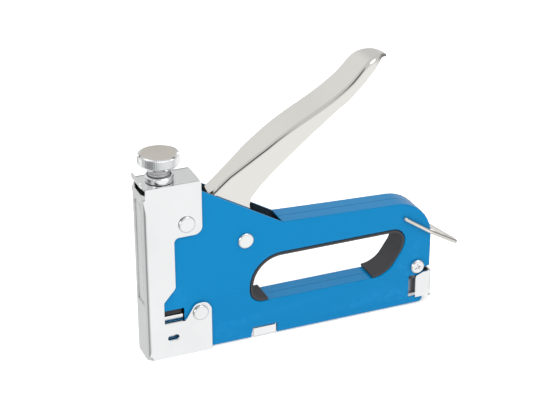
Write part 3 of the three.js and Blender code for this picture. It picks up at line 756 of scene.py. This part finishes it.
def knob_mesh(knurls):
    """Turned head with a knurled rim between two chamfers; its flat top is material 1."""
    low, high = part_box("tension_knob")
    radius = (high.x - low.x) / 2
    bm = bmesh.new()
    rim = bmesh.ops.create_circle(bm, segments=knurls * 2, radius=radius - 0.1 * MM, cap_ends=True)["verts"]
    for vert in rim[::2]:
        vert.co.xy *= 1 - 0.85 * MM / radius
    bmesh.ops.translate(bm, verts=rim, vec=(0, 0, KNOB_BASE * MM + 1.5 * MM))
    ends, _ = raise_faces(bm, bm.faces[:], UP * (high.z - KNOB_BASE * MM - 2.2 * MM))
    foot = [min(bm.faces, key=lambda f: f.calc_center_median().z)]
    for faces, steps in ((ends, ((0.3, 0.35), (0.45, 0.3), (0.2, 0.05))), (foot, ((0.3, -0.5), (0.9, -1.0)))):
        for inward, rise in steps:
            bmesh.ops.inset_region(bm, faces=faces, thickness=inward * MM)
            bmesh.ops.translate(bm, verts=list({v for f in faces for v in f.verts}), vec=(0, 0, rise * MM))
    agree_normals(bm)
    max(bm.faces, key=lambda f: f.calc_center_median().z).material_index = 1
    bmesh.ops.translate(bm, verts=bm.verts[:], vec=at(SCREW_X, 0, 0))
    return bm


def stem_mesh(pitch):
    """Core and thread of the tension screw, from its foot to the underside of its head."""
    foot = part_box("tension_knob")[0].z
    top = KNOB_BASE * MM
    shank, core = 3.95, 4.7
    bm = turned([
        (0, foot / MM), (shank - 0.3, foot / MM), (shank, foot / MM + 0.3), (shank, STEM_STEP),
        (core, STEM_STEP), (core, KNOB_BASE), (0, KNOB_BASE)], Matrix.Identity(4), 40)
    append(bm, thread_mesh(5.45 * MM, pitch, STEM_STEP * MM, top))
    bmesh.ops.translate(bm, verts=bm.verts[:], vec=at(SCREW_X, 0, 0))
    return bm


class StaplerKnob(bpy.types.Operator):
    """Builds the tension knob and the nut it turns in"""
    bl_idname = "stapler.tension_knob"
    bl_label = "Tension knob"

    def execute(self, context):
        sizes = context.scene.stapler_sizes
        head = piece_from(
            knob_mesh(sizes.knurls), "tension_knob_head", "bright_chrome", ["tension_knob"], soft=0.0)
        head.data.materials.append(bpy.data.materials["turned_steel"])
        head.data.shade_flat()
        # The plated stem takes the darker plain steel: painted dark reflection for its shadowed thread.
        piece_from(
            stem_mesh(sizes.thread_pitch), "tension_knob_stem", "plain_steel", ["tension_knob"], soft=0.0)
        low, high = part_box("collar_nut")
        foot, top = low.z / MM, high.z / MM
        ring = [(5.95, foot), (7.0, foot), (7.1, foot + 0.25), (7.1, top - 0.5), (6.6, top), (5.95, top),
                (5.95, foot)]
        bm = turned(ring, Matrix.Translation(at(SCREW_X, 0, 0)), 48)
        piece_from(bm, "collar_nut_skin", "bright_chrome", ["collar_nut"], soft=0.1)
        return {"FINISHED"}


# ---------------------------------------------------------------- lever

# Stations along the lever: distance from the pivot, height of the back, depth of the flanks, half width.
LEVER_STATIONS = [
    (-5.5, 26.8, 27, 6.3), (-2, 30.9, 34, 6.3), (2, 31.6, 37, 6.3), (7, 31.55, 36, 6.3),
    (11, 31.4, 24, 6.3), (14.5, 31.25, 19.2, 6.3), (18, 31.1, 17, 6.45), (25, 30.4, 14.8, 7.5),
    (33, 29.7, 13.1, 8.8), (40, 28.8, 12, 9.5), (47, 27.9, 11.2, 9.85), (54, 26.6, 10.1, 10),
    (60, 25.2, 8.95, 10.1), (67, 23.4, 7.9, 10.1), (73, 21.9, 6.8, 10.1), (78, 20.8, 6.2, 10.1),
    (83, 20, 6.2, 10.1), (88, 19.4, 5.7, 10.05), (92, 19.25, 5.4, 10), (96, 19.5, 5.5, 9.9),
    (100, 19.85, 5.5, 9.7), (103, 19.7, 5.2, 9.3), (105.5, 19.1, 4.6, 8.7), (107.7, 18.2, 3.6, 7.8),
    (109.5, 17.1, 2.6, 6.7), (111, 15.7, 1.9, 5.5), (112.1, 14.2, 1.5, 4.3), (112.9, 12.5, 1.3, 3.1),
    (113.3, 11.1, 1.2, 2.2),
]


def lever_section(half, depth, bend, segments=5):
    """A channel's outline from its +Y foot over its back to its -Y foot, as (across, down) pairs."""
    bend = min(bend, half * 0.8, depth * 0.95)
    points = [(half, depth), (half, depth * 0.5 + bend * 0.5), (half, bend)]
    for i in range(1, segments + 1):
        turn = i * math.pi / 2 / segments
        points.append((half - bend + bend * math.cos(turn), bend - bend * math.sin(turn)))
    points.append((half * 0.35, 0))
    return points + [(-a, b) for a, b in reversed(points)]


def lever_mesh():
    """Channel drawn out station by station; beyond 100 mm from the pivot its sections tilt with the curl of
    its tip.
    """
    bm = bmesh.new()
    pivot = at(LEVER_PIVOT[0], 0, LEVER_PIVOT[1])
    along = Vector((math.cos(LEVER_TILT), 0, math.sin(LEVER_TILT)))
    above = Vector((-math.sin(LEVER_TILT), 0, math.cos(LEVER_TILT)))
    row = None
    for i, (s, t, depth, half) in enumerate(LEVER_STATIONS):
        s0, t0 = LEVER_STATIONS[max(i - 1, 0)][:2]
        s1, t1 = LEVER_STATIONS[min(i + 1, len(LEVER_STATIONS) - 1)][:2]
        curl = max(0.0, math.atan2(t0 - t1, s1 - s0) - 0.45) if s > 100 else 0.0
        down = -above * math.cos(curl) - along * math.sin(curl)
        back = pivot + (along * s + above * t) * MM
        spots = [back + ACROSS * a * MM + down * b * MM for a, b in lever_section(half, depth, 2.4)]
        if row is None:
            verts = [bm.verts.new(spot) for spot in spots]
            row = [bm.edges.new(pair) for pair in zip(verts, verts[1:])]
            continue
        _, row = draw_out(bm, row)
        for vert, spot in zip(chain_of(row), spots):
            vert.co = spot
    agree_normals(bm)
    roof = max(bm.faces, key=lambda f: f.calc_area() * (abs(f.normal.y) < 0.2))
    if roof.normal.dot(above) < 0:
        bmesh.ops.reverse_faces(bm, faces=bm.faces[:])
    return bm


def chain_of(edges):
    """The vertices of an open run of edges, from its +Y foot to its -Y foot."""
    links = {}
    for edge in edges:
        for vert in edge.verts:
            links.setdefault(vert, []).append(edge)
    ends = [v for v, attached in links.items() if len(attached) == 1]
    here = max(ends, key=lambda v: v.co.y)
    chain, used = [here], set()
    while True:
        following = [e for e in links[here] if e not in used]
        if not following:
            return chain
        used.add(following[0])
        here = following[0].other_vert(here)
        chain.append(here)


class StaplerLever(bpy.types.Operator):
    """Builds the squeeze lever"""
    bl_idname = "stapler.lever"
    bl_label = "Lever"

    def execute(self, context):
        piece_from(lever_mesh(), "handle_lever_skin", "satin_nickel", ["handle_lever"], sheet=1.2, even=False,
                   soft=0.25, segments=3, angle=55)
        return {"FINISHED"}


# ---------------------------------------------------------------- fasteners, latch and bail

def rivet_mesh(node, half, shank, radius):
    """A shank with a low domed head at each end, across the tool."""
    low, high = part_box(node)
    centre = (low + high) / 2
    top = high.y / MM
    head = [
        (0, top), (radius * 0.45, top - 0.08), (radius * 0.72, top - 0.28), (radius * 0.9, top - 0.62),
        (radius * 0.985, top - 0.95), (radius, half + 0.18), (radius * 0.97, half), (shank, half)]
    profile = [(r, -h) for r, h in head] + [(r, h) for r, h in reversed(head)]
    place = Matrix.Translation((centre.x, 0, centre.z)) @ Matrix.Rotation(-math.pi / 2, 4, "X")
    return turned(profile, place, 40)


def screw_mesh():
    """Pan head with a cross recess, and its shank."""
    low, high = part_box("rear_screw")
    centre = (low + high) / 2
    seat = BODY_HALF + 0.3
    bm = bmesh.new()
    face_y = low.y / MM
    ring = Matrix.Translation((centre.x, face_y * MM, centre.z)) @ Matrix.Rotation(math.pi / 2, 4, "X")
    bmesh.ops.create_circle(bm, segments=40, radius=3.0 * MM, matrix=ring)
    arm, half = 2.15, 0.42
    tilt = math.radians(20)
    quarter = [(arm, -half), (arm, half), (half, half)]
    cross = []
    for k in range(4):
        turn = tilt + k * math.pi / 2
        cross += [(a * math.cos(turn) - b * math.sin(turn), a * math.sin(turn) + b * math.cos(turn), 0.12)
                  for a, b in quarter]

    def on_face(a, b):
        return Vector((centre.x + a * MM, face_y * MM, centre.z + b * MM))

    add_outline(bm, cross, on_face, 2, True)
    recess = max(bm.faces, key=lambda f: f.calc_area())
    loops = [e for e in bm.edges if len(e.link_faces) < 2]
    bmesh.ops.triangle_fill(bm, use_beauty=True, use_dissolve=False, edges=loops, normal=(0, -1, 0))
    made = bmesh.ops.extrude_face_region(bm, geom=[recess])["geom"]
    deep = [g for g in made if isinstance(g, bmesh.types.BMVert)]
    bmesh.ops.translate(bm, verts=deep, vec=ACROSS * 1.3 * MM)
    bmesh.ops.scale(bm, verts=deep, vec=(0.55, 1, 0.55), space=Matrix.Translation((-centre.x, 0, -centre.z)))
    if recess.is_valid:
        bmesh.ops.delete(bm, geom=[recess], context="FACES_ONLY")
    rim = [e for e in bm.edges if e.is_boundary]
    head = ((3.55, face_y + 0.35), (3.85, face_y + 0.9), (3.9, -seat - 0.1), (3.8, -seat), (2.0, -seat))
    for radius, y in head:
        ring, rim = draw_out(bm, rim)
        for vert in ring:
            away = Vector((vert.co.x - centre.x, 0, vert.co.z - centre.z)).normalized() * radius * MM
            vert.co = Vector((centre.x, y * MM, centre.z)) + away
    end, _ = draw_out(bm, rim)
    for vert in end:
        vert.co.y = high.y
    bmesh.ops.holes_fill(bm, edges=[e for e in bm.edges if e.is_boundary], sides=60)
    agree_normals(bm)
    return bm


def nut_mesh():
    """Hexagon nut with its corners turned off."""
    low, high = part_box("rear_nut")
    centre = (low + high) / 2
    place = Matrix.Translation((centre.x, low.y, centre.z)) @ Matrix.Rotation(-math.pi / 2, 4, "X")
    bm = bmesh.new()
    bmesh.ops.create_circle(bm, segments=6, radius=3.9 * MM)
    bmesh.ops.create_circle(bm, segments=24, radius=2.3 * MM)
    fill(bm, -UP)
    raise_faces(bm, bm.faces[:], UP * (high.y - low.y))
    agree_normals(bm)
    bm.transform(place)
    return bm


class StaplerFasteners(bpy.types.Operator):
    """Builds the rivets, the rear screw and its nut"""
    bl_idname = "stapler.fasteners"
    bl_label = "Fasteners"

    def execute(self, context):
        rivets = (
            ("lever_pivot_rivet", BODY_HALF + 0.3, 2.5, 4.1),
            ("upper_nose_rivet", NOSE_HALF + 0.3, 2.1, 4.3),
            ("lower_nose_rivet", NOSE_HALF + 0.3, 2.1, 4.1))
        for node, half, shank, radius in rivets:
            piece_from(
                rivet_mesh(node, half, shank, radius), f"{node}_skin", "bright_chrome", [node], soft=0.0)
        piece_from(screw_mesh(), "rear_screw_skin", "bright_chrome", ["rear_screw"], soft=0.06)
        piece_from(nut_mesh(), "rear_nut_skin", "plain_steel", ["rear_nut"], soft=0.25)
        return {"FINISHED"}


def latch_mesh():
    """Sheet cap over the rear foot: two cheeks and a rear wall with a flared lip."""
    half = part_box("rear_latch")[1].y / MM
    rear = 153.4
    bm = bmesh.new()
    cheek = [(144.3, 4.9, 0.4), (rear, 4.9), (rear, 19.2), (148.6, 19.1, 2.5), (144.3, 17.4, 1.2)]
    add_outline(bm, cheek, upright(-half), 6)
    fill(bm, -ACROSS)
    _, walls = raise_faces(bm, bm.faces[:], ACROSS * 2 * half * MM)
    back_x = at(rear, 0, 0).x
    drop_faces(bm, [f for f in walls if abs(f.calc_center_median().x - back_x) > 1e-5])
    bends = [e for e in bm.edges if len(e.link_faces) == 2 and e.calc_face_angle(0) > 1.2]
    bevel_edges(bm, bends, 1.3 * MM, 5)
    lip = [e for e in bm.edges if e.is_boundary and all(
        v.co.z < at(0, 0, 5.0).z and v.co.x > at(151.8, 0, 0).x for v in e.verts)]
    flared, _ = draw_out(bm, lip)
    bmesh.ops.translate(bm, verts=flared, vec=(0.55 * MM, 0, -0.5 * MM))
    agree_normals(bm)
    wall = max(bm.faces, key=lambda f: f.calc_center_median().x)
    if wall.normal.x < 0:
        bmesh.ops.reverse_faces(bm, faces=bm.faces[:])
    return bm


def tongue_mesh():
    """Block from the latch's rear wall to the rail."""
    bm = bmesh.new()
    front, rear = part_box("staple_rail")[1].x + 0.3 * MM, at(152.6, 0, 0).x
    half = 4.5 * MM

    def on_side(x, z):
        return Vector((x, -half, z * MM))

    add_outline(bm, [(front, 5.1, 0.5), (rear, 5.1), (rear, 13.8), (front, 13.8, 0.5)], on_side, 3)
    fill(bm, -ACROSS)
    raise_faces(bm, bm.faces[:], ACROSS * 2 * half)
    agree_normals(bm)
    return bm


class StaplerLatch(bpy.types.Operator):
    """Builds the latch at the rear end of the staple rail"""
    bl_idname = "stapler.latch"
    bl_label = "Rear latch"

    def execute(self, context):
        piece_from(
            latch_mesh(), "rear_latch_skin", "bright_chrome", ["rear_latch"], sheet=0.9, soft=0.15, angle=45)
        piece_from(tongue_mesh(), "rear_latch_tongue", "plain_steel", ["rear_latch"], soft=0.2)
        return {"FINISHED"}


def bail_stations():
    """Points, directions and radii along the wire loop, with round bends."""
    half = BODY_HALF + 1.4
    knee, reach, tip_half = 16.9, 41.7, 1.3
    away = Vector((math.cos(BAIL_DROOP), 0, -math.sin(BAIL_DROOP)))
    pivot = at(BAIL_PIVOT[0], 0, BAIL_PIVOT[1])

    def spot(r, y):
        return pivot + (away * r + ACROSS * y) * MM

    near = [(0, -half + 2.6, 0), (0, -half, 0.8), (knee, -half, 2.5), (reach - 0.2, -tip_half + 0.2, 1.4)]
    corners = [(spot(r, y), bend) for r, y, bend in near]
    corners += [(spot(r, -y), bend) for r, y, bend in reversed(near)]
    path = [corners[0][0]]
    for (before, _), (here, bend), (after, _) in zip(corners, corners[1:], corners[2:]):
        start, end = (before - here).normalized(), (after - here).normalized()
        reach_back = min(bend * MM, (before - here).length * 0.48, (after - here).length * 0.48)
        for k in range(7):
            share = k / 6
            path.append(here + start * reach_back * (1 - share) ** 2 + end * reach_back * share ** 2)
    path.append(corners[-1][0])
    stations = []
    for i, point in enumerate(path):
        heading = path[min(i + 1, len(path) - 1)] - path[max(i - 1, 0)]
        stations.append((point, heading.normalized(), 1.0 * MM))
    return stations


class StaplerBail(bpy.types.Operator):
    """Builds the wire bail that holds the lever down in storage"""
    bl_idname = "stapler.bail"
    bl_label = "Wire bail"

    def execute(self, context):
        piece_from(sweep(bail_stations(), 16), "bail_skin", "bail_wire", ["bail"], soft=0.12)
        return {"FINISHED"}


# ---------------------------------------------------------------- springs and the pieces inside


class StaplerSprings(bpy.types.Operator):
    """Builds the mainspring, the pusher spring and the lever's return spring"""
    bl_idname = "stapler.springs"
    bl_label = "Springs"

    def execute(self, context):
        sizes = context.scene.stapler_sizes
        low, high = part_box("mainspring")
        place = Matrix.Translation((at(SCREW_X, 0, 0).x, 0, low.z + 0.9 * MM))
        length = (high.z - low.z) / MM - 1.8
        spring = piece_from(
            coil(4.6, 0.9, sizes.mainspring_turns, length, place), "mainspring_coil", "spring_steel",
            ["mainspring"], soft=0.0)
        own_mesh(spring)
        low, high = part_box("pusher_spring")
        middle = (low + high) / 2
        start = Matrix.Translation((low.x + 0.35 * MM, middle.y, middle.z))
        place = start @ Matrix.Rotation(math.pi / 2, 4, "Y")
        length = (high.x - low.x) / MM - 0.7
        spring = piece_from(
            coil(2.8, 0.35, sizes.pusher_turns, length, place, 16, 6), "pusher_spring_coil", "spring_steel",
            ["pusher_spring"], soft=0.0)
        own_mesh(spring)
        low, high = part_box("return_spring")
        middle = (low + high) / 2
        start = Matrix.Translation((middle.x, high.y - 0.5 * MM, middle.z))
        place = start @ Matrix.Rotation(math.pi / 2, 4, "X")
        piece_from(coil(4.6, 0.5, 1, (high.y - low.y) / MM - 1, place, 24, 8), "return_spring_coil",
                   "spring_steel", ["return_spring"], soft=0.0)
        return {"FINISHED"}


INSIDE_FINISH = {
    "plain_steel": (
        "hammer_guide", "hammer", "driver_blade", "spring_seat", "staple_rail", "pusher", "pusher_rod",
        "lift_arm", "pivot_sleeve_left", "pivot_sleeve_right", "rear_spacer", "lower_nose_spacer"),
    "bright_chrome": ("magazine_channel",),
    "stop_rubber": ("hammer_bumper",),
}


class StaplerInside(bpy.types.Operator):
    """Gives the pieces inside their finish and breaks their sharp edges"""
    bl_idname = "stapler.inside"
    bl_label = "Inner pieces"

    def execute(self, context):
        for finish, nodes in INSIDE_FINISH.items():
            for name in nodes:
                node = frame["nodes"][name]
                node.data.materials.clear()
                node.data.materials.append(bpy.data.materials[finish])
                add_modifier(node, "WELD", "joined faces", merge_threshold=1e-6)
                soften(node, 0.12)
        return {"FINISHED"}


# ---------------------------------------------------------------- stage

TARGET = (72.2, 1.9, 64.9)
AZIMUTH, ELEVATION = math.radians(-22.7), math.radians(26.56)
DISTANCE = 0.817
LENS = 105.56

# Brightness of the room, and its panels: direction, angles of full and of no light, added brightness.
ROOM_LIGHT = 0.70
ROOM_PANELS = (
    ((0.3, -0.85, -0.4), (34, 62), 0.33),
    ((-0.42, 0.82, 0.42), (14, 32), 0.16),
    ((-0.56, -0.58, 0.58), (9, 19), -0.66),
    ((-0.85, -0.53, 0.2), (6, 15), 2.2),
    ((0.35, -0.45, 0.82), (8, 20), 2.4),
    ((-0.85, -0.3, -0.42), (8, 24), -0.35),
    ((0.95, 0.25, 0.1), (12, 34), -0.45),
)


def aim(thing, target):
    """Turns a light or camera, at its own place, towards the target."""
    thing.rotation_euler = (target - thing.location).to_track_quat("-Z", "Y").to_euler()


class StaplerStage(bpy.types.Operator):
    """Builds the pale floor, the soft studio light and the camera"""
    bl_idname = "stapler.stage"
    bl_label = "Stage"

    def execute(self, context):
        scene = context.scene
        target = at(*TARGET)
        self.camera(scene, target)
        self.floor(scene)
        self.world(scene)
        self.softbox(scene, "key", target, (-0.5, -0.9, 1.1), 0.7, 12)
        self.softbox(scene, "back", target, (-0.3, 1.0, 1.0), 0.9, 7)
        scene.view_settings.view_transform = "Standard"
        return {"FINISHED"}

    def camera(self, scene, target):
        data = bpy.data.cameras.new("camera")
        data.lens = LENS
        data.sensor_width = 36
        data.clip_start = 0.01
        thing = bpy.data.objects.new("camera", data)
        back = Vector((
            math.sin(AZIMUTH) * math.cos(ELEVATION), -math.cos(AZIMUTH) * math.cos(ELEVATION),
            math.sin(ELEVATION)))
        thing.location = target + back * DISTANCE
        aim(thing, target)
        scene.collection.objects.link(thing)
        scene.camera = thing

    def floor(self, scene):
        bm = bmesh.new()
        bmesh.ops.create_grid(bm, x_segments=8, y_segments=8, size=3.0)
        mesh = bpy.data.meshes.new("floor")
        bm.to_mesh(mesh)
        bm.free()
        thing = bpy.data.objects.new("floor", mesh)
        made, _, shader = new_material("pale_floor", Roughness=0.7)
        shader.inputs["Base Color"].default_value = (0.92, 0.92, 0.92, 1)
        shader.inputs["Emission Color"].default_value = (1, 1, 1, 1)
        shader.inputs["Emission Strength"].default_value = 0.3
        mesh.materials.append(made)
        thing.visible_glossy = False
        scene.collection.objects.link(thing)

    def world(self, scene):
        """A grey room with large soft panels, each a patch of brightness round one direction."""
        scene.world = bpy.data.worlds.new("studio")
        scene.world.use_nodes = True
        tree = scene.world.node_tree
        way = tree.nodes.new("ShaderNodeTexCoord").outputs["Generated"]
        light = ROOM_LIGHT
        for direction, reach, strength in ROOM_PANELS:
            toward = tree.nodes.new("ShaderNodeVectorMath")
            toward.operation = "DOT_PRODUCT"
            toward.inputs[1].default_value = Vector(direction).normalized()
            tree.links.new(way, toward.inputs[0])
            narrow, wide = (math.cos(math.radians(angle)) for angle in reach)
            light = multiply_add(tree, ramp(tree, toward.outputs["Value"], wide, narrow), strength, light)
        tree.nodes["Background"].inputs["Color"].default_value = (1, 1, 1, 1)
        tree.links.new(light, tree.nodes["Background"].inputs["Strength"])

    def softbox(self, scene, name, target, place, size, power):
        data = bpy.data.lights.new(name, "AREA")
        data.size = size
        data.energy = power
        thing = bpy.data.objects.new(name, data)
        thing.location = Vector(place)
        thing.visible_glossy = False
        aim(thing, target)
        scene.collection.objects.link(thing)


class StaplerPanel(bpy.types.Panel):
    """Sidebar list of the staple gun's pieces"""
    bl_label = "Staple gun"
    bl_idname = "VIEW3D_PT_stapler"
    bl_space_type = "VIEW_3D"
    bl_region_type = "UI"
    bl_category = "Staple gun"

    def draw(self, context):
        for group in (context.scene.stapler_sizes, context.scene.stapler_colours):
            for name in group.__annotations__:
                self.layout.prop(group, name)
        for operator in PIECES:
            self.layout.operator(operator.bl_idname)


PIECES = (
    StaplerStage, StaplerBody, StaplerLiner, StaplerNose, StaplerKnob, StaplerLever, StaplerFasteners,
    StaplerLatch, StaplerBail, StaplerSprings, StaplerInside,
)
CLASSES = (StaplerSizes, StaplerColours, *PIECES, StaplerPanel)


def register():
    for made in CLASSES:
        bpy.utils.register_class(made)
    bpy.types.Scene.stapler_sizes = bpy.props.PointerProperty(type=StaplerSizes)
    bpy.types.Scene.stapler_colours = bpy.props.PointerProperty(type=StaplerColours)


def unregister():
    del bpy.types.Scene.stapler_colours
    del bpy.types.Scene.stapler_sizes
    for made in reversed(CLASSES):
        bpy.utils.unregister_class(made)


def main():
    register()
    make_materials(bpy.context.scene.stapler_colours)
    for piece in PIECES:
        group, name = piece.bl_idname.split(".")
        getattr(getattr(bpy.ops, group), name)()


if __name__ == "__main__":
    main()
